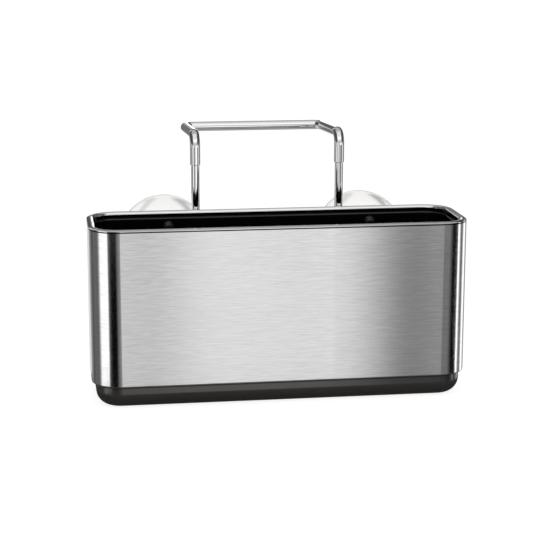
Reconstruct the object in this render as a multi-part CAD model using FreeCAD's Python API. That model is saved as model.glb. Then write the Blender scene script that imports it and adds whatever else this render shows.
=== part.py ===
import FreeCAD, Part
import math
import os

# A slim sink caddy for sponges, in millimetres: +X to the right, +Y to the back, +Z up.
# The origin is the centre of the base's underside. The caddy hangs from a tube loop that
# goes round a tap, or stands on its base, and two suction cups steady it on the sink wall.

Vector = FreeCAD.Vector
UP = Vector(0, 0, 1)
BACK = Vector(0, 1, 0)

# Steel shell: a sheet sleeve, its lower edge turned in
shell_width = 250.0
shell_depth = 71.6
corner_radius = 19.2
shell_bottom = 15.1
shell_top = 117.2
sheet = 0.6
hem_radius = 1.3
hem_reach = 2.6

# Rim ring: a crowned cap on the liner's ledge, with a skirt that presses into the liner's well
rim_width = 4.7
rim_height = 1.1
rim_edge = 0.25
rim_round = 2.0
skirt_depth = 2.5

# Inner liner: a drafted tub, its ledge on the sleeve's top edge and its lip set below the ring
liner_inset = 3.5
liner_wall = 2.0
ledge_inset = 0.25
ledge_height = 0.9
lip_drop = 3.4
lip_round = 0.9
flange_height = 5.8
liner_draft = 1.0
liner_floor_top = 18.0
liner_floor = 2.5
floor_round = 3.0
drain_width = 5.0
drain_length = 34.0
drain_pitch = 22.0
drain_end_gap = 36.0

# Base tray: a shallow tray below the sleeve, its neck in the turned-in hem, its shoulder on it
base_inset = 2.8
base_wall = 1.6
base_floor = 2.5
base_round = 10.0
base_chamfer = 6.0
neck_height = 1.1
neck_depth = 0.8
base_top = 17.6
outlet_width = 6.0
outlet_length = 26.0
outlet_pitch = 40.0
outlet_count = 4

# Base screws: four pan-head screws from below, through posts of the tray into the liner
screw_end_gap = 24.0
screw_side_gap = 20.8
screw_radius = 1.5
screw_head_radius = 3.0
screw_head_height = 2.2
screw_seat = 5.0
screw_bite = 4.5
post_radius = 5.6
post_top = 12.0
recess_radius = 3.6

# Rear frame: one rod bent to a U, its legs standing up behind the rear wall
rod_radius = 2.85
rod_end_gap = 75.2
rod_axis_gap = 5.0
rod_insert = 9.0
rod_low = 24.0
rod_bend = 12.0
rod_chamfer = 0.6

# Straps: formed strips on the rear wall, with a rolled eye round each leg of the frame
strap_thickness = 1.0
strap_height = 12.0
strap_bend = 1.5
strap_upper_z = 105.0
strap_lower_z = 46.0
eye_curl = 50.0

# Strap rivets
rivet_rod_gap = 19.8
rivet_radius = 1.6
rivet_head_radius = 3.0
rivet_crown_radius = 1.9
rivet_head_height = 1.0
rivet_tail_radius = 2.6
rivet_tail = 0.9

# Suction cups: soft mouldings, their necks through the rear wall, hanging down by their weight
cup_rod_gap = 19.7
cup_height = 108.8
cup_droop = 33.3
cup_radius = 30.8
cup_reach = 21.5
cup_lip = 1.2
cup_crown = 10.0
cup_waist_radius = 4.2
cup_waist_length = 4.0
cup_collar_height = 4.4
cup_neck_radius = 2.8
cup_pin_radius = 1.8
cup_pin_length = 1.6
cup_radius_share = 0.52
cup_outer_rise_share = 0.45

# Cup knobs: domed knobs inside the tub, pressed on the pins of the cups' necks
knob_radius = 3.75
knob_height = 3.0
knob_dimple_radius = 1.1
knob_dimple_depth = 0.8

# Hanger loop: a bright tube, bent to a loop that leans back round the tap
tube_radius = 3.5
mouth_round = 0.45
loop_height = 169.5
leg_length = 20.9
loop_reach = 74.0
loop_fall = 3.9
leg_bend = 8.0
loop_bend = 6.0
plug_length = 3.0

# Clearances, the overrun of cuts, and how near a picked edge has to be
fit_gap = 0.05
slip_gap = 0.1
head_gap = 0.15
overrun = 5.0
edge_reach = 0.01

# Places that follow from the sizes above
wall_back = shell_depth / 2
cap_bottom = shell_top + ledge_height
rim_top = cap_bottom + rim_height
flange_inset = sheet + fit_gap
skirt_inset = liner_inset + fit_gap
lip_top = cap_bottom - lip_drop
liner_bottom = liner_floor_top - liner_floor
hem_top = shell_bottom + sheet
rod_y = wall_back + rod_axis_gap
bore_radius = rod_radius + fit_gap
tube_end = loop_height - leg_length
rod_tip = tube_end + rod_insert
screw_x = shell_width / 2 - screw_end_gap
screw_y = shell_depth / 2 - screw_side_gap
rod_x = shell_width / 2 - rod_end_gap
cup_x = rod_x + cup_rod_gap
rivet_x = rod_x - rivet_rod_gap
drain_count = int((shell_width - 2 * drain_end_gap) / drain_pitch) + 1


def plan_outline(inset, z):
    """The caddy's rounded rectangle, drawn in by inset, at height z."""
    radius = corner_radius - inset
    reach_x = shell_width / 2 - corner_radius
    reach_y = shell_depth / 2 - corner_radius
    centres = [(reach_x, reach_y), (-reach_x, reach_y), (-reach_x, -reach_y), (reach_x, -reach_y)]
    arcs = []
    for quarter, (x, y) in enumerate(centres):
        start = quarter * math.pi / 2
        circle = Part.Circle(Vector(x, y, z), UP, radius)
        arcs.append(Part.ArcOfCircle(circle, start, start + math.pi / 2))
    edges = []
    for arc, following in zip(arcs, arcs[1:] + arcs[:1]):
        edges.append(arc.toShape())
        edges.append(Part.LineSegment(arc.EndPoint, following.StartPoint).toShape())
    return Part.Wire(edges)


def prism(inset, low, high):
    """A straight block with the caddy's outline."""
    return Part.Face(plan_outline(inset, low)).extrude(UP * (high - low))


def drafted(inset_low, low, inset_high, high):
    """A block with the caddy's outline that widens towards its top."""
    return Part.makeLoft([plan_outline(inset_low, low), plan_outline(inset_high, high)], True, True)


def outline_edges(shape, inset, z):
    """The edges of shape that lie on the caddy's outline at that inset and height."""
    outline = plan_outline(inset, z)
    found = []
    for edge in shape.Edges:
        middle = edge.valueAt((edge.FirstParameter + edge.LastParameter) / 2)
        if outline.distToShape(Part.Vertex(middle))[0] < edge_reach:
            found.append(edge)
    return found


def liner_face_inset(z, wall=0):
    """How far the liner's drafted face lies in from the shell's outside at height z."""
    return liner_inset + wall + (lip_top - z) * math.tan(math.radians(liner_draft))


def slot_along_y(x, y, width, length, low, high):
    """A round-ended slot that runs front to back."""
    half = width / 2
    straight = length / 2 - half
    left_back = Vector(x - half, y + straight, low)
    right_back = Vector(x + half, y + straight, low)
    left_front = Vector(x - half, y - straight, low)
    right_front = Vector(x + half, y - straight, low)
    edges = [
        Part.LineSegment(right_front, right_back).toShape(),
        Part.Arc(right_back, Vector(x, y + length / 2, low), left_back).toShape(),
        Part.LineSegment(left_back, left_front).toShape(),
        Part.Arc(left_front, Vector(x, y - length / 2, low), right_front).toShape(),
    ]
    return Part.Face(Part.Wire(edges)).extrude(UP * (high - low))


def row_places(count, pitch):
    """Evenly spaced places, centred on zero."""
    return [(index - (count - 1) / 2) * pitch for index in range(count)]


def screw_places():
    return [(x, y) for x in (-screw_x, screw_x) for y in (-screw_y, screw_y)]


def bent_path(corners, radii):
    """Straight runs between the corners, each inner corner rounded by its own radius."""
    edges = []
    start = corners[0]
    for before, corner, after, radius in zip(corners, corners[1:], corners[2:], radii):
        arrive = (corner - before).normalize()
        leave = (after - corner).normalize()
        half_turn = arrive.getAngle(leave) / 2
        setback = radius * math.tan(half_turn)
        bend_start = corner - arrive * setback
        bend_end = corner + leave * setback
        inward = (leave - arrive).normalize()
        middle = corner + inward * (radius / math.cos(half_turn) - radius)
        edges.append(Part.LineSegment(start, bend_start).toShape())
        edges.append(Part.Arc(bend_start, middle, bend_end).toShape())
        start = bend_end
    edges.append(Part.LineSegment(start, corners[-1]).toShape())
    return Part.Wire(edges)


def round_bar(path, radius):
    """A round bar swept along a bent path that starts with a vertical run."""
    circle = Part.Wire(Part.makeCircle(radius, path.Edges[0].Vertexes[0].Point, UP))
    return path.makePipeShell([circle], True, False)


def rear_hole(x, z, radius):
    """A drill through the rear wall, shell and liner alike."""
    depth = liner_face_inset(z, liner_wall) + overrun
    return Part.makeCylinder(radius, depth + overrun, Vector(x, wall_back - depth, z), BACK)


def rivet_places():
    return [(x, z) for z in (strap_upper_z, strap_lower_z) for x in (-rivet_x, rivet_x)]


def make_steel_shell():
    outside = prism(0, shell_bottom, shell_top)
    outside = outside.makeFillet(hem_radius, outline_edges(outside, 0, shell_bottom))
    inside = prism(sheet, hem_top, shell_top + overrun)
    inside = inside.makeFillet(hem_radius - sheet, outline_edges(inside, sheet, hem_top))
    opening = prism(hem_reach, shell_bottom - overrun, hem_top + overrun)
    cup_holes = [rear_hole(x, cup_height, cup_neck_radius + slip_gap) for x in (-cup_x, cup_x)]
    rivet_holes = [rear_hole(x, z, rivet_radius + fit_gap) for x, z in rivet_places()]
    return outside.cut([inside, opening] + cup_holes + rivet_holes)


def cap_arc(radius, edge_z, pole_z):
    """Half the section of a ball-shaped cap, from its edge to its pole on the Z axis."""
    rise = pole_z - edge_z
    ball = (radius ** 2 + rise ** 2) / (2 * rise)
    half_angle = math.atan2(rise, radius)
    middle = Vector(ball * math.sin(half_angle), 0, pole_z - ball + ball * math.cos(half_angle))
    return Part.Arc(Vector(radius, 0, edge_z), middle, Vector(0, 0, pole_z))


def make_rim_ring():
    """The ring's section, led round the caddy's outline from the end of its right side."""
    crown_width = rim_width - rim_round
    skirt_bottom = cap_bottom - skirt_depth
    turn = Vector(-crown_width, 0, rim_top - rim_round)
    diagonal = Vector(-math.cos(math.pi / 4), 0, math.sin(math.pi / 4))
    inner_top = Vector(-rim_width, 0, rim_top - rim_round)
    crown = cap_arc(crown_width, cap_bottom + rim_edge, rim_top)
    crown.translate(Vector(-crown_width, 0, 0))
    corners = [
        inner_top,
        Vector(-rim_width, 0, skirt_bottom),
        Vector(-skirt_inset, 0, skirt_bottom),
        Vector(-skirt_inset, 0, cap_bottom),
        Vector(0, 0, cap_bottom),
        Vector(0, 0, cap_bottom + rim_edge),
    ]
    curves = [crown, Part.Arc(turn + UP * rim_round, turn + diagonal * rim_round, inner_top)]
    curves += [Part.LineSegment(a, b) for a, b in zip(corners, corners[1:])]
    section = Part.Wire([curve.toShape() for curve in curves])
    section.translate(Vector(shell_width / 2, shell_depth / 2 - corner_radius, 0))
    return plan_outline(0, cap_bottom).makePipeShell([section], True, False)


def make_inner_liner():
    tub = drafted(liner_face_inset(liner_bottom), liner_bottom, liner_inset, lip_top)
    ledge = prism(ledge_inset, shell_top, cap_bottom)
    flange = prism(flange_inset, cap_bottom - flange_height, shell_top)
    well = prism(liner_inset, lip_top, cap_bottom + overrun)
    cavity = drafted(
        liner_face_inset(liner_floor_top, liner_wall),
        liner_floor_top,
        liner_face_inset(lip_top, liner_wall),
        lip_top,
    )
    floor_inset = liner_face_inset(liner_floor_top, liner_wall)
    cavity = cavity.makeFillet(floor_round, outline_edges(cavity, floor_inset, liner_floor_top))
    liner = tub.fuse([ledge, flange]).cut([well, cavity])
    liner = liner.makeFillet(lip_round, outline_edges(liner, liner_inset + liner_wall, lip_top))
    bosses = []
    pilots = []
    for x, y in screw_places():
        foot = Vector(x, y, post_top)
        bosses.append(Part.makeCylinder(post_radius, liner_bottom - post_top, foot))
        pilots.append(Part.makeCylinder(screw_radius + fit_gap, screw_bite + fit_gap, foot))
    drains = []
    for x in row_places(drain_count, drain_pitch):
        drains.append(
            slot_along_y(x, 0, drain_width, drain_length, liner_bottom - overrun, liner_floor_top + overrun)
        )
    cup_holes = [rear_hole(x, cup_height, cup_neck_radius + slip_gap) for x in (-cup_x, cup_x)]
    return liner.fuse(bosses).cut(pilots + drains + cup_holes).removeSplitter()


def make_base_tray():
    tray = prism(base_inset, 0, base_top)
    tray = tray.makeFillet(base_round, outline_edges(tray, base_inset, 0))
    shoulder = prism(hem_radius, hem_top, base_top)
    hollow_inset = base_inset + base_wall
    hollow = prism(hollow_inset, base_floor, base_top + overrun)
    hollow = hollow.makeChamfer(base_chamfer, outline_edges(hollow, hollow_inset, base_floor))
    neck_low = shell_bottom - neck_height
    groove = prism(0, neck_low, hem_top).cut(prism(base_inset + neck_depth, neck_low, hem_top))
    tray = tray.fuse(shoulder).cut([groove, hollow])
    posts = []
    drills = []
    for x, y in screw_places():
        posts.append(Part.makeCylinder(post_radius, post_top - base_floor / 2, Vector(x, y, base_floor / 2)))
        drills.append(Part.makeCylinder(recess_radius, screw_seat + overrun, Vector(x, y, -overrun)))
        drills.append(Part.makeCylinder(screw_radius + slip_gap, post_top + overrun, Vector(x, y, 0)))
    outlets = []
    for x in row_places(outlet_count, outlet_pitch):
        outlets.append(slot_along_y(x, 0, outlet_width, outlet_length, -overrun, base_floor + overrun))
    return tray.fuse(posts).cut(drills + outlets).removeSplitter()


def make_base_screws():
    screws = []
    for x, y in screw_places():
        head = Part.makeCylinder(screw_head_radius, screw_head_height, Vector(x, y, screw_seat - screw_head_height))
        shank_length = post_top + screw_bite - screw_seat
        shank = Part.makeCylinder(screw_radius, shank_length, Vector(x, y, screw_seat))
        screws.append(head.fuse(shank).removeSplitter())
    return Part.makeCompound(screws)


def make_rear_frame():
    path = bent_path(
        [
            Vector(-rod_x, rod_y, rod_tip),
            Vector(-rod_x, rod_y, rod_low),
            Vector(rod_x, rod_y, rod_low),
            Vector(rod_x, rod_y, rod_tip),
        ],
        [rod_bend, rod_bend],
    )
    frame = round_bar(path, rod_radius)
    tips = [edge for edge in frame.Edges if edge.BoundBox.ZMin > rod_tip - edge_reach]
    return frame.makeChamfer(rod_chamfer, tips)


def strap_half_profile(z):
    """One half of a strap, seen from above: flat on the wall, up beside the rod, then round it."""
    eye_inside = rod_radius + fit_gap
    eye_outside = eye_inside + strap_thickness
    rise_x = rod_x - eye_inside
    bend_x = rise_x - strap_thickness - strap_bend
    bend_y = wall_back + strap_thickness + strap_bend
    eye = Vector(rod_x, rod_y, z)
    curl = math.radians(-eye_curl)
    inside_end = eye + Vector(math.cos(curl), math.sin(curl), 0) * eye_inside
    outside_end = eye + Vector(math.cos(curl), math.sin(curl), 0) * eye_outside
    half_angle = math.radians(-45)
    diagonal = Vector(math.cos(half_angle), math.sin(half_angle), 0)
    bend = Vector(bend_x, bend_y, z)
    wide = strap_bend + strap_thickness
    inner_face = [
        Part.LineSegment(Vector(0, wall_back, z), Vector(bend_x, wall_back, z)),
        Part.Arc(Vector(bend_x, wall_back, z), bend + diagonal * wide, Vector(rise_x, bend_y, z)),
        Part.LineSegment(Vector(rise_x, bend_y, z), Vector(rise_x, rod_y, z)),
        Part.Arc(Vector(rise_x, rod_y, z), eye + BACK * eye_inside, inside_end),
    ]
    flat_y = wall_back + strap_thickness
    back_x = rise_x - strap_thickness
    outer_face = [
        Part.LineSegment(inside_end, outside_end),
        Part.Arc(outside_end, eye + BACK * eye_outside, Vector(back_x, rod_y, z)),
        Part.LineSegment(Vector(back_x, rod_y, z), Vector(back_x, bend_y, z)),
        Part.Arc(Vector(back_x, bend_y, z), bend + diagonal * strap_bend, Vector(bend_x, flat_y, z)),
        Part.LineSegment(Vector(bend_x, flat_y, z), Vector(0, flat_y, z)),
        Part.LineSegment(Vector(0, flat_y, z), Vector(0, wall_back, z)),
    ]
    return Part.Face(Part.Wire([curve.toShape() for curve in inner_face + outer_face]))


def make_strap(middle_z):
    half = strap_half_profile(middle_z - strap_height / 2).extrude(UP * strap_height)
    other = half.mirror(Vector(0, 0, 0), Vector(1, 0, 0))
    holes = [rear_hole(x, middle_z, rivet_radius + fit_gap) for x in (-rivet_x, rivet_x)]
    return half.fuse(other).cut(holes).removeSplitter()


def make_strap_rivets():
    rivets = []
    seat = wall_back + strap_thickness
    tail_top = wall_back - sheet
    for x, z in rivet_places():
        corners = [
            Vector(0, 0, seat + rivet_head_height),
            Vector(0, 0, tail_top - rivet_tail),
            Vector(rivet_tail_radius, 0, tail_top - rivet_tail),
            Vector(rivet_tail_radius, 0, tail_top),
            Vector(rivet_radius, 0, tail_top),
            Vector(rivet_radius, 0, seat),
            Vector(rivet_head_radius, 0, seat),
            Vector(rivet_crown_radius, 0, seat + rivet_head_height),
            Vector(0, 0, seat + rivet_head_height),
        ]
        edges = [Part.LineSegment(a, b).toShape() for a, b in zip(corners, corners[1:])]
        rivet = Part.Face(Part.Wire(edges)).revolve(Vector(0, 0, 0), UP, 360)
        rivet.rotate(Vector(0, 0, 0), Vector(1, 0, 0), -90)
        rivet.translate(Vector(x, 0, z))
        rivets.append(rivet)
    return Part.makeCompound(rivets)


def knob_seat():
    """How far in from the wall's back the knob's rim lies, clear of the liner's draft."""
    return liner_face_inset(cup_height - knob_radius, liner_wall) + head_gap


def cup_stem():
    """The pin, neck and collar, turned about the hole's axis, which points up here."""
    seat = -knob_seat()
    corners = [
        Vector(0, 0, seat - cup_pin_length),
        Vector(cup_pin_radius, 0, seat - cup_pin_length),
        Vector(cup_pin_radius, 0, seat),
        Vector(cup_neck_radius, 0, seat),
        Vector(cup_neck_radius, 0, 0),
        Vector(cup_waist_radius, 0, 0),
        Vector(cup_waist_radius, 0, cup_collar_height),
        Vector(0, 0, cup_collar_height),
        Vector(0, 0, seat - cup_pin_length),
    ]
    edges = [Part.LineSegment(a, b).toShape() for a, b in zip(corners, corners[1:])]
    return Part.Face(Part.Wire(edges)).revolve(Vector(0, 0, 0), UP, 360)


def make_cup_knob(x):
    seat = -knob_seat()
    tip = seat - knob_height
    socket_radius = cup_pin_radius + fit_gap
    socket_end = seat - cup_pin_length - fit_gap
    crown = Part.Arc(
        Vector(knob_dimple_radius, 0, tip),
        Vector(knob_radius * math.cos(math.pi / 4), 0, seat - knob_height * math.sin(math.pi / 4)),
        Vector(knob_radius, 0, seat),
    )
    corners = [
        Vector(knob_radius, 0, seat),
        Vector(socket_radius, 0, seat),
        Vector(socket_radius, 0, socket_end),
        Vector(0, 0, socket_end),
        Vector(0, 0, tip + knob_dimple_depth),
        Vector(knob_dimple_radius, 0, tip + knob_dimple_depth),
        Vector(knob_dimple_radius, 0, tip),
    ]
    edges = [Part.LineSegment(a, b).toShape() for a, b in zip(corners, corners[1:])]
    knob = Part.Face(Part.Wire(edges + [crown.toShape()])).revolve(Vector(0, 0, 0), UP, 360)
    knob.rotate(Vector(0, 0, 0), Vector(1, 0, 0), -90)
    knob.translate(Vector(x, wall_back, cup_height))
    return knob


def cup_dish():
    """The waist and the dish, turned about the cup's own axis from the point where it bends."""
    rim_low = cup_reach - cup_lip
    waist_end = Vector(cup_waist_radius, 0, cup_waist_length)
    outer_rim = Vector(cup_radius, 0, rim_low)
    outer_middle = Vector(
        cup_waist_radius + (cup_radius - cup_waist_radius) * cup_radius_share,
        0,
        cup_waist_length + (rim_low - cup_waist_length) * cup_outer_rise_share,
    )
    inner_rim = Vector(cup_radius - cup_lip, 0, cup_reach)
    bottom = Vector(0, 0, -cup_waist_radius)
    side = Vector(cup_waist_radius, 0, 0)
    ball = Vector(cup_waist_radius * math.cos(math.pi / 4), 0, -cup_waist_radius * math.sin(math.pi / 4))
    crown = Vector(0, 0, cup_crown)
    curves = [
        Part.Arc(bottom, ball, side),
        Part.LineSegment(side, waist_end),
        Part.Arc(waist_end, outer_middle, outer_rim),
        Part.LineSegment(outer_rim, Vector(cup_radius, 0, cup_reach)),
        Part.LineSegment(Vector(cup_radius, 0, cup_reach), inner_rim),
        cap_arc(cup_radius - cup_lip, cup_reach, cup_crown),
        Part.LineSegment(crown, bottom),
    ]
    profile = Part.Face(Part.Wire([curve.toShape() for curve in curves]))
    return profile.revolve(Vector(0, 0, 0), UP, 360)


def make_suction_cup(x):
    stem = cup_stem()
    stem.rotate(Vector(0, 0, 0), Vector(1, 0, 0), -90)
    stem.translate(Vector(x, wall_back, cup_height))
    dish = cup_dish()
    dish.rotate(Vector(0, 0, 0), Vector(1, 0, 0), -90 - cup_droop)
    dish.translate(Vector(x, wall_back + cup_collar_height, cup_height))
    return stem.fuse(dish).removeSplitter()


def make_hanger_loop():
    back = rod_y + loop_reach
    low = loop_height - loop_fall
    path = bent_path(
        [
            Vector(-rod_x, rod_y, tube_end),
            Vector(-rod_x, rod_y, loop_height),
            Vector(-rod_x, back, low),
            Vector(rod_x, back, low),
            Vector(rod_x, rod_y, loop_height),
            Vector(rod_x, rod_y, tube_end),
        ],
        [leg_bend, loop_bend, loop_bend, leg_bend],
    )
    tube = round_bar(path, tube_radius)
    mouths = [edge for edge in tube.Edges if edge.BoundBox.ZMax < tube_end + edge_reach]
    return tube.makeFillet(mouth_round, mouths).cut(round_bar(path, bore_radius))


def make_stop_plug(x):
    return Part.makeCylinder(bore_radius - fit_gap, plug_length, Vector(x, rod_y, rod_tip))


nodes = {
    "steel_shell": make_steel_shell(),
    "rim_ring": make_rim_ring(),
    "inner_liner": make_inner_liner(),
    "base_tray": make_base_tray(),
    "base_screws": make_base_screws(),
    "rear_frame": make_rear_frame(),
    "upper_strap": make_strap(strap_upper_z),
    "lower_strap": make_strap(strap_lower_z),
    "strap_rivets": make_strap_rivets(),
    "suction_cup_left": make_suction_cup(-cup_x),
    "suction_cup_right": make_suction_cup(cup_x),
    "cup_knob_left": make_cup_knob(-cup_x),
    "cup_knob_right": make_cup_knob(cup_x),
    "hanger_loop": make_hanger_loop(),
    "stop_plug_left": make_stop_plug(-rod_x),
    "stop_plug_right": make_stop_plug(rod_x),
}

os.makedirs("parts", exist_ok=True)
for name, shape in nodes.items():
    shape.exportStep("parts/" + name + ".step")
    print(name, len(shape.Solids), "solids", round(shape.Volume, 1), "mm3", "valid", shape.isValid())
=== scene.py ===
import math

import bmesh
import bpy
from mathutils import Matrix, Vector


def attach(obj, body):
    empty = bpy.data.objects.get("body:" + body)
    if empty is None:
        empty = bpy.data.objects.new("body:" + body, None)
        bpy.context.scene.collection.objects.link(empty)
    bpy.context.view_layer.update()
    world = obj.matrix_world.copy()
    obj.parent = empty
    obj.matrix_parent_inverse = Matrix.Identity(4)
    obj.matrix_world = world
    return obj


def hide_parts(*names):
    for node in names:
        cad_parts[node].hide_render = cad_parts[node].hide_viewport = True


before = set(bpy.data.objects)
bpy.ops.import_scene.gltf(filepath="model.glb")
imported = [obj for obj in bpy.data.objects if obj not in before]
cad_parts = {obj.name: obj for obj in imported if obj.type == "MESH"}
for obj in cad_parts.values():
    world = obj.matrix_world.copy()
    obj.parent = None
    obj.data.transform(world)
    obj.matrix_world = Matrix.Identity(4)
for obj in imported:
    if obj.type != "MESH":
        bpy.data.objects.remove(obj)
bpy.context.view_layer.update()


# Base tray: the shallow black tray that the sleeve stands on, moulded in one piece of ABS with
# a well rounded lower edge. The tool was lightly blasted, so the face is satin with a fine grain.

def put(tree, kind, settings, inputs):
    """Adds one shader node with its settings, and its inputs as values or links."""
    node = tree.nodes.new("ShaderNode" + kind)
    for name, value in settings.items():
        setattr(node, name, value)
    for name, value in inputs.items():
        if isinstance(value, bpy.types.NodeSocket):
            tree.links.new(value, node.inputs[name])
        else:
            node.inputs[name].default_value = value
    return node


def new_group(name, inputs, outputs):
    """An empty node group with named sockets, and its input and output nodes."""
    tree = bpy.data.node_groups.new(name, "ShaderNodeTree")
    for label, kind in inputs.items():
        tree.interface.new_socket(label, in_out="INPUT", socket_type="NodeSocket" + kind)
    for label, kind in outputs.items():
        tree.interface.new_socket(label, in_out="OUTPUT", socket_type="NodeSocket" + kind)
    return tree, tree.nodes.new("NodeGroupInput"), tree.nodes.new("NodeGroupOutput")


def new_finish(name, values):
    """A material with one Principled shader whose constant values are set on it."""
    material = bpy.data.materials.new(name)
    material.use_nodes = True
    tree = material.node_tree
    shader = tree.nodes["Principled BSDF"]
    for socket, value in values.items():
        shader.inputs[socket].default_value = value
    place = tree.nodes.new("ShaderNodeTexCoord").outputs["Object"]
    return material, tree, shader, place


def dress(node, material):
    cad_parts[node].material_slots[0].material = material


def make_moulded_grain():
    """Fine tool texture on moulded plastic, with slow drifts of gloss and shade."""
    tree, given, result = new_group(
        "moulded_grain",
        {"Position": "Vector", "Grain Scale": "Float", "Dark": "Color", "Light": "Color",
         "Smoothest": "Float", "Roughest": "Float"},
        {"Colour": "Color", "Roughness": "Float", "Height": "Float"},
    )
    grain = put(tree, "TexNoise", {}, {"Vector": given.outputs["Position"], "Detail": 2.0,
                                       "Scale": given.outputs["Grain Scale"]})
    drift = put(tree, "TexNoise", {}, {"Vector": given.outputs["Position"], "Scale": 45.0, "Detail": 3.0})
    both = put(tree, "Mix", {}, {"Factor": 0.35, "A": drift.outputs["Fac"], "B": grain.outputs["Fac"]})
    shade = put(tree, "Mix", {"data_type": "RGBA"}, {"Factor": both.outputs["Result"]})
    tree.links.new(given.outputs["Dark"], shade.inputs["A"])
    tree.links.new(given.outputs["Light"], shade.inputs["B"])
    gloss = put(tree, "MapRange", {}, {"Value": both.outputs["Result"], "From Min": 0.3, "From Max": 0.7,
                                       "To Min": given.outputs["Smoothest"],
                                       "To Max": given.outputs["Roughest"]})
    tree.links.new(shade.outputs["Result"], result.inputs["Colour"])
    tree.links.new(gloss.outputs["Result"], result.inputs["Roughness"])
    tree.links.new(grain.outputs["Fac"], result.inputs["Height"])
    return tree


moulded_grain = make_moulded_grain()


def moulded_finish(name, dark, light, smoothest, roughest, grain_scale, grain_depth, shine):
    """Satin moulded plastic with that grain."""
    material, tree, shader, place = new_finish(name, {"Specular IOR Level": shine})
    grain = put(tree, "Group", {"node_tree": moulded_grain},
                {"Position": place, "Grain Scale": grain_scale, "Dark": dark, "Light": light,
                 "Smoothest": smoothest, "Roughest": roughest})
    bump = put(tree, "Bump", {}, {"Height": grain.outputs["Height"], "Distance": grain_depth,
                                  "Strength": 0.5})
    tree.links.new(grain.outputs["Colour"], shader.inputs["Base Color"])
    tree.links.new(grain.outputs["Roughness"], shader.inputs["Roughness"])
    tree.links.new(bump.outputs["Normal"], shader.inputs["Normal"])
    return material


dress("base_tray", moulded_finish(
    "base_abs", dark=(0.046, 0.0410, 0.0362, 1), light=(0.054, 0.0485, 0.0434, 1),
    smoothest=0.20, roughest=0.27, grain_scale=2200.0, grain_depth=0.00002, shine=0.8))


# Base screws: four pan-head screws of plated steel, driven up from below through the tray's posts
# into the liner. Their heads sit in round recesses, clear of the table.

def make_polish_marks():
    """Haze and hairline wiping marks on polished metal."""
    tree, given, result = new_group(
        "polish_marks",
        {"Position": "Vector", "Dark": "Color", "Light": "Color", "Smoothest": "Float", "Roughest": "Float"},
        {"Colour": "Color", "Roughness": "Float", "Height": "Float"},
    )
    haze = put(tree, "TexNoise", {}, {"Vector": given.outputs["Position"], "Scale": 60.0, "Detail": 4.0})
    hairs = put(tree, "TexNoise", {}, {"Vector": given.outputs["Position"], "Scale": 900.0, "Detail": 2.0,
                                       "Distortion": 1.5})
    both = put(tree, "Mix", {}, {"Factor": 0.3, "A": haze.outputs["Fac"], "B": hairs.outputs["Fac"]})
    shade = put(tree, "Mix", {"data_type": "RGBA"}, {"Factor": both.outputs["Result"]})
    tree.links.new(given.outputs["Dark"], shade.inputs["A"])
    tree.links.new(given.outputs["Light"], shade.inputs["B"])
    gloss = put(tree, "MapRange", {}, {"Value": both.outputs["Result"], "From Min": 0.3, "From Max": 0.7,
                                       "To Min": given.outputs["Smoothest"],
                                       "To Max": given.outputs["Roughest"]})
    tree.links.new(shade.outputs["Result"], result.inputs["Colour"])
    tree.links.new(gloss.outputs["Result"], result.inputs["Roughness"])
    tree.links.new(hairs.outputs["Fac"], result.inputs["Height"])
    return tree


polish_marks = make_polish_marks()


def polished_finish(name, dark, light, smoothest, roughest):
    """Polished metal with those marks."""
    material, tree, shader, place = new_finish(name, {"Metallic": 1.0})
    marks = put(tree, "Group", {"node_tree": polish_marks},
                {"Position": place, "Dark": dark, "Light": light,
                 "Smoothest": smoothest, "Roughest": roughest})
    bump = put(tree, "Bump", {}, {"Height": marks.outputs["Height"], "Distance": 0.000002, "Strength": 0.2})
    tree.links.new(marks.outputs["Colour"], shader.inputs["Base Color"])
    tree.links.new(marks.outputs["Roughness"], shader.inputs["Roughness"])
    tree.links.new(bump.outputs["Normal"], shader.inputs["Normal"])
    return material


dress("base_screws", polished_finish("plated_screw", dark=(0.45, 0.45, 0.44, 1), light=(0.55, 0.55, 0.54, 1),
                                     smoothest=0.22, roughest=0.34))


# Inner liner: the black tub that fills the sleeve, moulded in polypropylene with a little draft.
# Its ledge lies on the sleeve's top edge as a thin black line, and its lip is set below the ring.

# Its colour is set darker than black polypropylene: painted shade for the dimness deep inside the tub.
dress("inner_liner", moulded_finish(
    "liner_pp_painted_shade", dark=(0.0010, 0.0010, 0.0011, 1), light=(0.0020, 0.0020, 0.0021, 1),
    smoothest=0.15, roughest=0.22, grain_scale=1800.0, grain_depth=0.00002, shine=0.5))


# Steel shell: a sleeve of thin stainless sheet, bent round and brushed along its length, with its
# lower edge turned in under the tray's shoulder.

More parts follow.
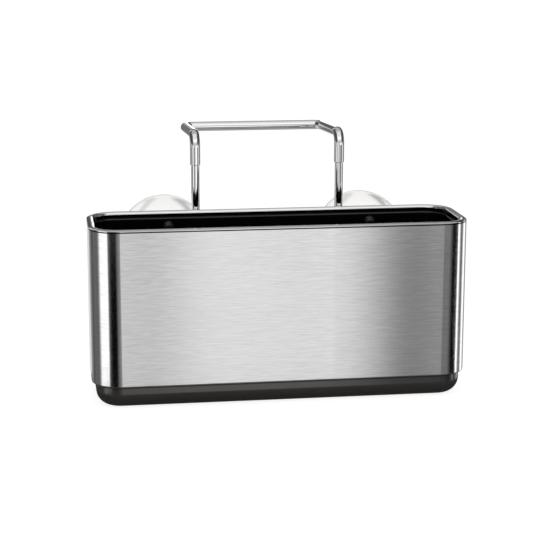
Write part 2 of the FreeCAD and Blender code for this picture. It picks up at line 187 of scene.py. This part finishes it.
def make_brush_lines():
    """Long level streaks left by a brushing belt, a few coarse ones among many fine ones."""
    tree, given, result = new_group(
        "brush_lines",
        {"Position": "Vector", "Dark": "Color", "Light": "Color", "Smoothest": "Float", "Roughest": "Float"},
        {"Colour": "Color", "Roughness": "Float", "Height": "Float"},
    )
    fine_stretch, coarse_stretch = (115.0, 115.0, 3000.0), (75.0, 75.0, 1500.0)
    fine_place = put(tree, "VectorMath", {"operation": "MULTIPLY"},
                     {0: given.outputs["Position"], 1: fine_stretch})
    fine = put(tree, "TexNoise", {}, {"Vector": fine_place.outputs["Vector"], "Scale": 1.0, "Detail": 4.0,
                                      "Roughness": 0.6})
    coarse_place = put(tree, "VectorMath", {"operation": "MULTIPLY"},
                       {0: given.outputs["Position"], 1: coarse_stretch})
    coarse = put(tree, "TexNoise", {}, {"Vector": coarse_place.outputs["Vector"], "Scale": 1.0,
                                        "Detail": 3.0})
    both = put(tree, "Mix", {}, {"Factor": 0.45, "A": fine.outputs["Fac"], "B": coarse.outputs["Fac"]})
    spread = put(tree, "MapRange", {}, {"Value": both.outputs["Result"], "From Min": 0.32, "From Max": 0.68})
    shade = put(tree, "Mix", {"data_type": "RGBA"}, {"Factor": spread.outputs["Result"]})
    tree.links.new(given.outputs["Dark"], shade.inputs["A"])
    tree.links.new(given.outputs["Light"], shade.inputs["B"])
    gloss = put(tree, "MapRange", {}, {"Value": spread.outputs["Result"],
                                       "To Min": given.outputs["Smoothest"],
                                       "To Max": given.outputs["Roughest"]})
    tree.links.new(shade.outputs["Result"], result.inputs["Colour"])
    tree.links.new(gloss.outputs["Result"], result.inputs["Roughness"])
    tree.links.new(fine.outputs["Fac"], result.inputs["Height"])
    return tree


brush_lines = make_brush_lines()


def brushed_finish(name, dark, light, smoothest, roughest):
    """Metal brushed level all round, so reflections smear upwards and downwards."""
    material, tree, shader, place = new_finish(name, {"Metallic": 1.0, "Anisotropic": 1.0})
    lines = put(tree, "Group", {"node_tree": brush_lines},
                {"Position": place, "Dark": dark, "Light": light,
                 "Smoothest": smoothest, "Roughest": roughest})
    bump = put(tree, "Bump", {}, {"Height": lines.outputs["Height"], "Distance": 0.000006, "Strength": 0.25})
    smear = put(tree, "CombineXYZ", {}, {"Z": 1.0})
    tree.links.new(lines.outputs["Colour"], shader.inputs["Base Color"])
    tree.links.new(lines.outputs["Roughness"], shader.inputs["Roughness"])
    tree.links.new(bump.outputs["Normal"], shader.inputs["Normal"])
    tree.links.new(smear.outputs["Vector"], shader.inputs["Tangent"])
    return material


dress("steel_shell", brushed_finish(
    "brushed_stainless", dark=(0.560, 0.556, 0.561, 1), light=(0.755, 0.750, 0.756, 1),
    smoothest=0.19, roughest=0.23))


# Rim ring: a crowned ring of polished stainless that lies on the liner's ledge, its inner skirt
# pressed into the liner's well.

dress("rim_ring", polished_finish(
    "polished_stainless", dark=(0.74, 0.735, 0.73, 1), light=(0.82, 0.815, 0.81, 1),
    smoothest=0.06, roughest=0.11))


# Straps and their rivets: strips of plain rolled stainless on the sleeve's rear wall, each curled
# to an eye at both ends and held by two domed rivets.

strap_steel = brushed_finish("rolled_stainless", dark=(0.50, 0.50, 0.49, 1), light=(0.62, 0.62, 0.61, 1),
                             smoothest=0.30, roughest=0.40)
dress("upper_strap", strap_steel)
dress("lower_strap", strap_steel)
dress("strap_rivets", polished_finish("rivet_steel", dark=(0.52, 0.52, 0.51, 1), light=(0.62, 0.62, 0.61, 1),
                                      smoothest=0.18, roughest=0.30))


# Rear frame: one bright plated rod bent to a U, held by the straps' eyes. Its legs stand up behind
# the rear wall and carry the loop.

bright_plate = polished_finish("bright_plate", dark=(0.80, 0.80, 0.795, 1), light=(0.86, 0.86, 0.855, 1),
                               smoothest=0.03, roughest=0.07)
dress("rear_frame", bright_plate)


# Suction cups: soft clear vinyl mouldings, one piece each. The neck goes through the rear wall, a
# collar stops it there, and the dish hangs down a little under its own weight.

wall_back = 0.0358
cup_height = 0.1088
cup_side = 0.0695
cup_turn = math.radians(33.3)
bend_start = 0.0016
bend_reach_mm = 2.8
bend_radius = bend_reach_mm / 1000 / math.tan(cup_turn / 2)
bend_end = bend_start + bend_radius * cup_turn
bend_steps = 8
neck_end, neck_radius = -0.0057, 0.0028
collar_radius = 0.0042
flare_mm = [(3.3, 4.22), (3.8, 4.40), (4.3, 4.9), (4.8, 5.8), (5.5, 7.2), (6.6, 9.4), (8.2, 12.4),
            (10.0, 15.8), (12.2, 19.4), (14.6, 23.0), (17.0, 26.4), (19.2, 29.4), (20.3, 30.7)]
lip_mm = [(20.8, 30.8), (21.2, 30.72), (21.45, 30.4), (21.5, 30.0), (21.4, 29.6)]
hollow_radius, hollow_mouth, hollow_crown = 0.0438, 0.0292, 0.0072
hollow_steps, mouth_step = 13, 13.6
round_steps = 96
most_verts = 10000


def cup_station(along):
    """The place and lean of the cup's centre line, that far behind the wall."""
    lean = min(max((along - bend_start) / bend_radius, 0.0), cup_turn)
    straight = max(along - bend_end, 0.0) + min(along - bend_start, 0.0)
    hinge = Matrix.Translation((0.0, bend_start, -bend_radius))
    swing = hinge @ Matrix.Rotation(-lean, 4, "X") @ Matrix.Translation((0.0, 0.0, bend_radius))
    return swing @ Matrix.Translation((0.0, straight, 0.0)) @ Matrix.Rotation(-math.pi / 2, 4, "X")


def cup_rings():
    """Distance along the centre line and radius of each ring, from the neck's end to the hollow's crown."""
    rings = [(neck_end, neck_radius), (-0.0002, neck_radius), (0.0001, 0.0030), (0.0002, 0.0039),
             (0.0006, collar_radius)]
    for step in range(bend_steps + 1):
        rings.append((bend_start + (bend_end - bend_start) * step / bend_steps, collar_radius))
    for rise, radius in flare_mm + lip_mm:
        rings.append((bend_end + (rise - bend_reach_mm) / 1000, radius / 1000))
    for step in range(hollow_steps, 0, -1):
        angle = math.asin(hollow_mouth / hollow_radius) * step / mouth_step
        rings.append((bend_end + hollow_crown + hollow_radius * (1 - math.cos(angle)),
                      hollow_radius * math.sin(angle)))
    return rings


def face_order(face):
    """A number of its own for each face, so that every run lists the faces alike."""
    first, second, *rest = sorted(vert.index for vert in face.verts)
    return (first * most_verts + rest[-1]) * most_verts + second


def make_suction_cup(name, x):
    bm = bmesh.new()
    bmesh.ops.create_circle(bm, cap_ends=True, segments=round_steps, radius=1.0)
    ring = list(bm.verts)
    edges = list(bm.edges)
    before = Matrix.Identity(4)
    for index, (along, radius) in enumerate(cup_rings()):
        if index:
            made = bmesh.ops.extrude_edge_only(bm, edges=edges)["geom"]
            ring = [part for part in made if isinstance(part, bmesh.types.BMVert)]
            new = set(ring)
            edges = [part for part in made if isinstance(part, bmesh.types.BMEdge) and set(part.verts) <= new]
        now = Matrix.Translation((x, wall_back, cup_height)) @ cup_station(along)
        now = now @ Matrix.Diagonal((radius, radius, 1.0, 1.0))
        bmesh.ops.transform(bm, matrix=now @ before.inverted(), verts=ring)
        before = now
    bmesh.ops.pointmerge(bm, verts=ring, merge_co=before.translation)
    bmesh.ops.recalc_face_normals(bm, faces=bm.faces)
    bm.verts.index_update()
    bm.faces.sort(key=face_order)
    mesh = bpy.data.meshes.new(name)
    bm.to_mesh(mesh)
    bm.free()
    for face in mesh.polygons:
        face.use_smooth = True
    cup = bpy.data.objects.new(name, mesh)
    bpy.context.scene.collection.objects.link(cup)
    return cup


def soft_clear_finish():
    """Milky clear vinyl with a slow drift of haze and faint flow lines."""
    material, tree, shader, place = new_finish(
        "clear_vinyl", {"Transmission Weight": 0.96, "IOR": 1.4, "Base Color": (0.99, 0.983, 0.968, 1)})
    haze = put(tree, "TexNoise", {}, {"Vector": place, "Scale": 90.0, "Detail": 3.0})
    gloss = put(tree, "MapRange", {}, {"Value": haze.outputs["Fac"], "From Min": 0.3, "From Max": 0.7,
                                       "To Min": 0.04, "To Max": 0.09})
    bump = put(tree, "Bump", {}, {"Height": haze.outputs["Fac"], "Distance": 0.00004, "Strength": 0.1})
    tree.links.new(gloss.outputs["Result"], shader.inputs["Roughness"])
    tree.links.new(bump.outputs["Normal"], shader.inputs["Normal"])
    return material


clear_vinyl = soft_clear_finish()
for side, sign in (("left", -1), ("right", 1)):
    cup = make_suction_cup("vinyl_cup_" + side, sign * cup_side)
    cup.data.materials.append(clear_vinyl)
    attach(cup, "caddy")
    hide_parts("suction_cup_" + side)


# Cup knobs: small domed knobs of dark nylon inside the tub, pressed on the pins of the cups' necks
# so that the cups can't pull out.

# Their colour is partly the dark nylon and partly painted shade, set darker for the dim inside of the tub.
knob_nylon_and_shade = moulded_finish(
    "knob_nylon_and_shade", dark=(0.008, 0.008, 0.008, 1), light=(0.013, 0.013, 0.0128, 1),
    smoothest=0.28, roughest=0.38, grain_scale=2600.0, grain_depth=0.00002, shine=0.4)
for side in ("left", "right"):
    dress("cup_knob_" + side, knob_nylon_and_shade)


# Stop plugs and hanger loop: a bright plated tube bent to a loop for the tap. A nylon plug in each
# leg stands on the rod's tip and carries the loop.

dress("hanger_loop", bright_plate)
plug_nylon = moulded_finish(
    "plug_nylon", dark=(0.62, 0.62, 0.60, 1), light=(0.70, 0.70, 0.68, 1),
    smoothest=0.40, roughest=0.50, grain_scale=1500.0, grain_depth=0.00003, shine=0.5)
for side in ("left", "right"):
    dress("stop_plug_" + side, plug_nylon)


# Floor: a plain pale paper sheet on the table that takes the caddy's soft shadow. Its glow shows
# only to the camera and through the clear cups, so it throws no more light on the caddy.

floor_reach = 6.0
floor_grey = (0.35, 0.35, 0.35, 1)
floor_glow = 0.86
bm = bmesh.new()
bmesh.ops.create_grid(bm, x_segments=1, y_segments=1, size=floor_reach)
mesh = bpy.data.meshes.new("floor")
bm.to_mesh(mesh)
bm.free()
floor = bpy.data.objects.new("floor", mesh)
bpy.context.scene.collection.objects.link(floor)
floor.visible_glossy = False
material, tree, shader = new_finish("floor_paper", {"Base Color": floor_grey, "Roughness": 0.9,
                                                    "Emission Color": (1, 1, 1, 1)})[:3]
seen = put(tree, "LightPath", {}, {})
lift = put(tree, "Math", {"operation": "MAXIMUM"}, {0: seen.outputs["Is Camera Ray"],
                                                    1: seen.outputs["Is Transmission Ray"]})
glow = put(tree, "Math", {"operation": "MULTIPLY"}, {0: lift.outputs["Value"], 1: floor_glow})
tree.links.new(glow.outputs["Value"], shader.inputs["Emission Strength"])
mesh.materials.append(material)


# Studio cards: black, grey and white cards stand close round both ends, and a dark sheet under the tray
# is painted shadow, the tray's contact shadow. They show only as reflections in the metal and the tray.
# Three papers behind the cups show only through the clear vinyl and paint its shade bands and dark outlines.

def grey(level):
    return (level, level, level, 1)


def stage_card(name, feet, foot_z, rise, axis, levels):
    """A card that rises from a line of feet, its brightness given along one axis."""
    bm = bmesh.new()
    verts = [bm.verts.new((x, y, foot_z)) for x, y in feet]
    edges = [bm.edges.new(pair) for pair in zip(verts, verts[1:])]
    made = bmesh.ops.extrude_edge_only(bm, edges=edges)["geom"]
    top = [part for part in made if isinstance(part, bmesh.types.BMVert)]
    bmesh.ops.translate(bm, vec=rise, verts=top)
    mesh = bpy.data.meshes.new(name)
    bm.to_mesh(mesh)
    bm.free()
    material, tree, shader, place = new_finish(name, {"Base Color": grey(0), "Specular IOR Level": 0.0,
                                                      "Emission Strength": 1.0})
    parts = put(tree, "SeparateXYZ", {}, {"Vector": place})
    start, end = levels[0][0], levels[-1][0]
    reach = put(tree, "MapRange", {}, {"Value": parts.outputs[axis], "From Min": start, "From Max": end})
    ramp = put(tree, "ValToRGB", {}, {"Fac": reach.outputs["Result"]})
    stops = ramp.color_ramp.elements
    for along, level in levels[1:-1]:
        stops.new((along - start) / (end - start)).color = grey(level)
    stops[0].color = grey(levels[0][1])
    stops[-1].color = grey(levels[-1][1])
    tree.links.new(ramp.outputs["Color"], shader.inputs["Emission Color"])
    mesh.materials.append(material)
    card = bpy.data.objects.new(name, mesh)
    bpy.context.scene.collection.objects.link(card)
    card.visible_camera = False
    card.visible_diffuse = False
    card.visible_transmission = False
    card.visible_shadow = False
    return card


card_foot = -0.3
card_rise = (0.0, 0.0, 0.45)
far_rise = (0.0, 0.0, 0.414)
stage_card("black_card", [(-0.1095, -0.1060), (-0.1650, -0.0819)], card_foot, card_rise, "X",
           [(-0.1650, 0.16), (-0.1560, 0.06), (-0.1480, 0.0), (-0.1260, 0.0), (-0.1195, 0.15),
            (-0.1130, 0.31), (-0.1095, 0.46)])
stage_card("left_card", [(-0.1650, -0.0819), (-0.1890, -0.0400), (-0.1900, -0.0100), (-0.1780, 0.0250),
                         (-0.1560, 0.0450)], card_foot, card_rise, "Y",
           [(-0.0819, 1.6), (-0.0420, 1.6), (-0.0310, 0.30), (-0.0200, 0.16), (0.0030, 0.19), (0.0240, 0.09),
            (0.0310, 0.24), (0.0450, 0.45)])
stage_card("far_card", [(-0.1560, 0.0450), (-0.1250, 0.0800)], card_foot, far_rise, "Y",
           [(0.0450, 0.45), (0.0600, 0.75), (0.0800, 0.95)])
stage_card("grey_card", [(0.0460, -0.1045), (0.1240, -0.1035), (0.1550, -0.0832), (0.1820, -0.0452)],
           card_foot, card_rise, "X",
           [(0.0460, 1.03), (0.0530, 1.01), (0.0580, 0.97), (0.0625, 0.91), (0.0697, 0.80), (0.0782, 0.65),
            (0.0866, 0.49), (0.0951, 0.37), (0.1035, 0.33), (0.1120, 0.35), (0.1237, 0.43), (0.1270, 0.245),
            (0.1510, 0.235), (0.1565, 0.15), (0.1615, 0.03), (0.1650, 0.0), (0.1710, 0.0), (0.1770, 0.03),
            (0.1820, 0.12)])
stage_card("right_card", [(0.1820, -0.0452), (0.1875, -0.0310), (0.1872, -0.0129), (0.1800, 0.0104),
                          (0.1600, 0.0350), (0.1480, 0.0450)], card_foot, card_rise, "Y",
           [(-0.0452, 2.0), (-0.0370, 2.0), (-0.0325, 1.0), (-0.0270, 0.45), (-0.0190, 0.10), (-0.0130, 0.10),
            (-0.0080, 0.30), (-0.0040, 0.65), (0.0010, 1.6), (0.0130, 1.8), (0.0190, 0.9), (0.0250, 0.30),
            (0.0450, 0.20)])

# Painted shadow: a dim sheet seen only in reflections, standing in for the tray's contact shadow on the
# table.
sheet_z, sheet_depth, painted_shadow_level = -0.001, (0.0, 0.12, 0.0), 0.06
stage_card("painted_shadow_sheet", [(-0.150, -0.060), (0.150, -0.060)], sheet_z, sheet_depth, "X",
           [(-0.150, painted_shadow_level), (0.150, painted_shadow_level)])

paper_y = 0.25
paper_ends = [(-0.16, paper_y), (0.22, paper_y)]
paper_foot, paper_low, paper_high, paper_top = 0.001, 0.046, 0.125, 0.25
# Painted shade: the grey bands behind each cup and the dark lines across the papers show through the vinyl as
# the cups' shaded bands and dark outlines.
pale, painted_shade_band, painted_deep_shade_band, painted_outline = 1.01, 0.74, 0.52, 0.1
cup_shades = [(-0.16, pale), (-0.0740, pale), (-0.0695, painted_shade_band), (-0.0645, painted_shade_band), (-0.0600, pale),
              (-0.0490, pale), (-0.0430, painted_deep_shade_band), (-0.0365, painted_deep_shade_band), (-0.0300, pale),
              (0.0900, pale), (0.0945, painted_shade_band), (0.0995, painted_shade_band), (0.1040, pale),
              (0.1150, pale), (0.1210, painted_deep_shade_band), (0.1275, painted_deep_shade_band), (0.1340, pale), (0.22, pale)]
low_shades = [(paper_foot, 0.9), (0.022, 0.8), (0.040, painted_outline), (paper_low, painted_outline)]
high_shades = [(paper_high, painted_outline), (0.132, painted_outline), (0.16, 0.8), (paper_top, 0.9)]
for name, low, high, axis, levels in (("cup_shade_paper", paper_low, paper_high, "X", cup_shades),
                                      ("low_shade_paper", paper_foot, paper_low, "Z", low_shades),
                                      ("high_shade_paper", paper_high, paper_top, "Z", high_shades)):
    card = stage_card(name, paper_ends, low, (0.0, 0.0, high - low), axis, levels)
    card.visible_transmission = True
    card.visible_glossy = False


# Studio: a wide soft panel hangs high in front of the table and a dimmer one overhead, walls stand
# all round, and a narrow strip glows low behind. The paper behind shows white.

world = bpy.data.worlds.new("studio")
bpy.context.scene.world = world
world.use_nodes = True
tree = world.node_tree
background = tree.nodes["Background"]
world.cycles.sampling_method = "NONE"

panorama = [
    (-180, 0.5), (-164.5, 0.5), (-162.4, 0.1), (-157, 0.1), (-150, 0.25), (-75, 0.26), (-66, 0.86),
    (-48, 0.9), (-40, 1.2), (-9, 1.22), (-7, 1.34), (-5.6, 1.46), (-4.2, 0.45), (-2.8, 1.05), (0, 1.05),
    (2, 0.15), (14, 0.15), (17, 0.9), (35, 0.9), (54, 0.72), (80, 0.46), (120, 0.42), (145, 0.30),
    (160, 0.17), (177, 0.17), (180, 0.5),
]
walls = [
    (-180, 0.3), (-164.5, 0.24), (-162.4, 0.06), (-60, 0.09), (-40, 0.6), (40, 0.6), (60, 0.08),
    (155, 0.08), (158, 0.65), (167, 0.65), (170, 0.08), (177, 0.08), (180, 0.3),
]
panel_light, overhead_light, overhead_back_light, strip_light = 1.4, 0.9, 0.48, 1.9
below_light, far_below_light = 0.75, 0.42
white = 1.0

direction = tree.nodes.new("ShaderNodeTexCoord").outputs["Generated"]
facing = put(tree, "VectorMath", {"operation": "SCALE"}, {0: direction, "Scale": -1.0})
parts = put(tree, "SeparateXYZ", {}, {"Vector": facing.outputs["Vector"]})
to_left, to_front = parts.outputs["X"], parts.outputs["Y"]
azimuth = put(tree, "Math", {"operation": "ARCTAN2"}, {0: to_left, 1: to_front})
turn = put(tree, "MapRange", {}, {"Value": azimuth.outputs["Value"], "From Min": -math.pi,
                                  "From Max": math.pi})


def all_round(levels):
    """Brightness by azimuth: 0 is the front, and +90 the left."""
    ramp = put(tree, "ValToRGB", {}, {"Fac": turn.outputs["Result"]})
    stops = ramp.color_ramp.elements
    stops.remove(stops[-1])
    stops[0].color = grey(levels[0][1])
    for angle, level in levels[1:]:
        stops.new((angle + 180) / 360).color = grey(level)
    return ramp.outputs["Color"]


def laid_over(below, factor, above):
    """A panel, plain or given as a colour, laid over what is there, as far as factor says."""
    mixed = put(tree, "Mix", {"data_type": "RGBA"}, {"Factor": factor})
    tree.links.new(below, mixed.inputs["A"])
    if isinstance(above, bpy.types.NodeSocket):
        tree.links.new(above, mixed.inputs["B"])
    else:
        mixed.inputs["B"].default_value = grey(above)
    return mixed.outputs["Result"]


def soft_step(value, start, end):
    return put(tree, "MapRange", {"interpolation_type": "SMOOTHSTEP"},
               {"Value": value, "From Min": start, "From Max": end}).outputs["Result"]


def product(first, second):
    return put(tree, "Math", {"operation": "MULTIPLY"}, {0: first, 1: second}).outputs["Value"]


height = product(parts.outputs["Z"], -1.0)
aside = put(tree, "Math", {"operation": "ABSOLUTE"}, {0: to_left}).outputs["Value"]
light = laid_over(all_round(panorama), soft_step(height, 0.03, 0.14), all_round(walls))

panel = product(soft_step(to_front, 0.12, 0.36), soft_step(height, 0.25, 0.65))
light = laid_over(light, product(soft_step(aside, 0.75, 0.55), panel), panel_light)

overhead = product(soft_step(aside, 0.70, 0.50), soft_step(height, 0.62, 0.80))
light = laid_over(light, overhead, overhead_light)
light = laid_over(light, product(overhead, soft_step(to_front, 0.10, -0.25)), overhead_back_light)

strip = product(soft_step(to_left, -0.05, -0.09), soft_step(to_left, -0.265, -0.24))
strip = product(strip, product(soft_step(height, 0.19, 0.16), soft_step(height, -0.16, -0.12)))
light = laid_over(light, product(strip, soft_step(to_front, -0.5, -0.8)), strip_light)

light = laid_over(light, soft_step(height, -0.33, -0.50), below_light)
light = laid_over(light, soft_step(height, -0.60, -0.85), far_below_light)

seen = put(tree, "LightPath", {}, {})
backdrop = product(seen.outputs["Is Transmission Ray"], soft_step(to_front, -0.6, -0.93))
light = laid_over(light, backdrop, white)
light = laid_over(light, seen.outputs["Is Camera Ray"], white)
tree.links.new(light, background.inputs["Color"])


# Camera: a long lens about a metre off, a little to the left and above, and turned a hair about its
# own axis so that the caddy's edges lean as they should.

lens = 105.97
sensor = 36.0
azimuth_angle = math.radians(-8.408)
elevation_angle = math.radians(12.398)
roll_angle = math.radians(0.107)
distance = 1.06395
target = Vector((-0.004183, 0.0, 0.082951))
camera_data = bpy.data.cameras.new("camera")
camera_data.lens = lens
camera_data.sensor_width = sensor
camera = bpy.data.objects.new("camera", camera_data)
bpy.context.scene.collection.objects.link(camera)
aim = (Matrix.Rotation(azimuth_angle, 4, "Z") @ Matrix.Rotation(math.pi / 2 - elevation_angle, 4, "X")
       @ Matrix.Rotation(roll_angle, 4, "Z"))
camera.matrix_world = Matrix.Translation(target) @ aim @ Matrix.Translation((0, 0, distance))
bpy.context.scene.camera = camera
bpy.context.scene.view_settings.view_transform = "Standard"
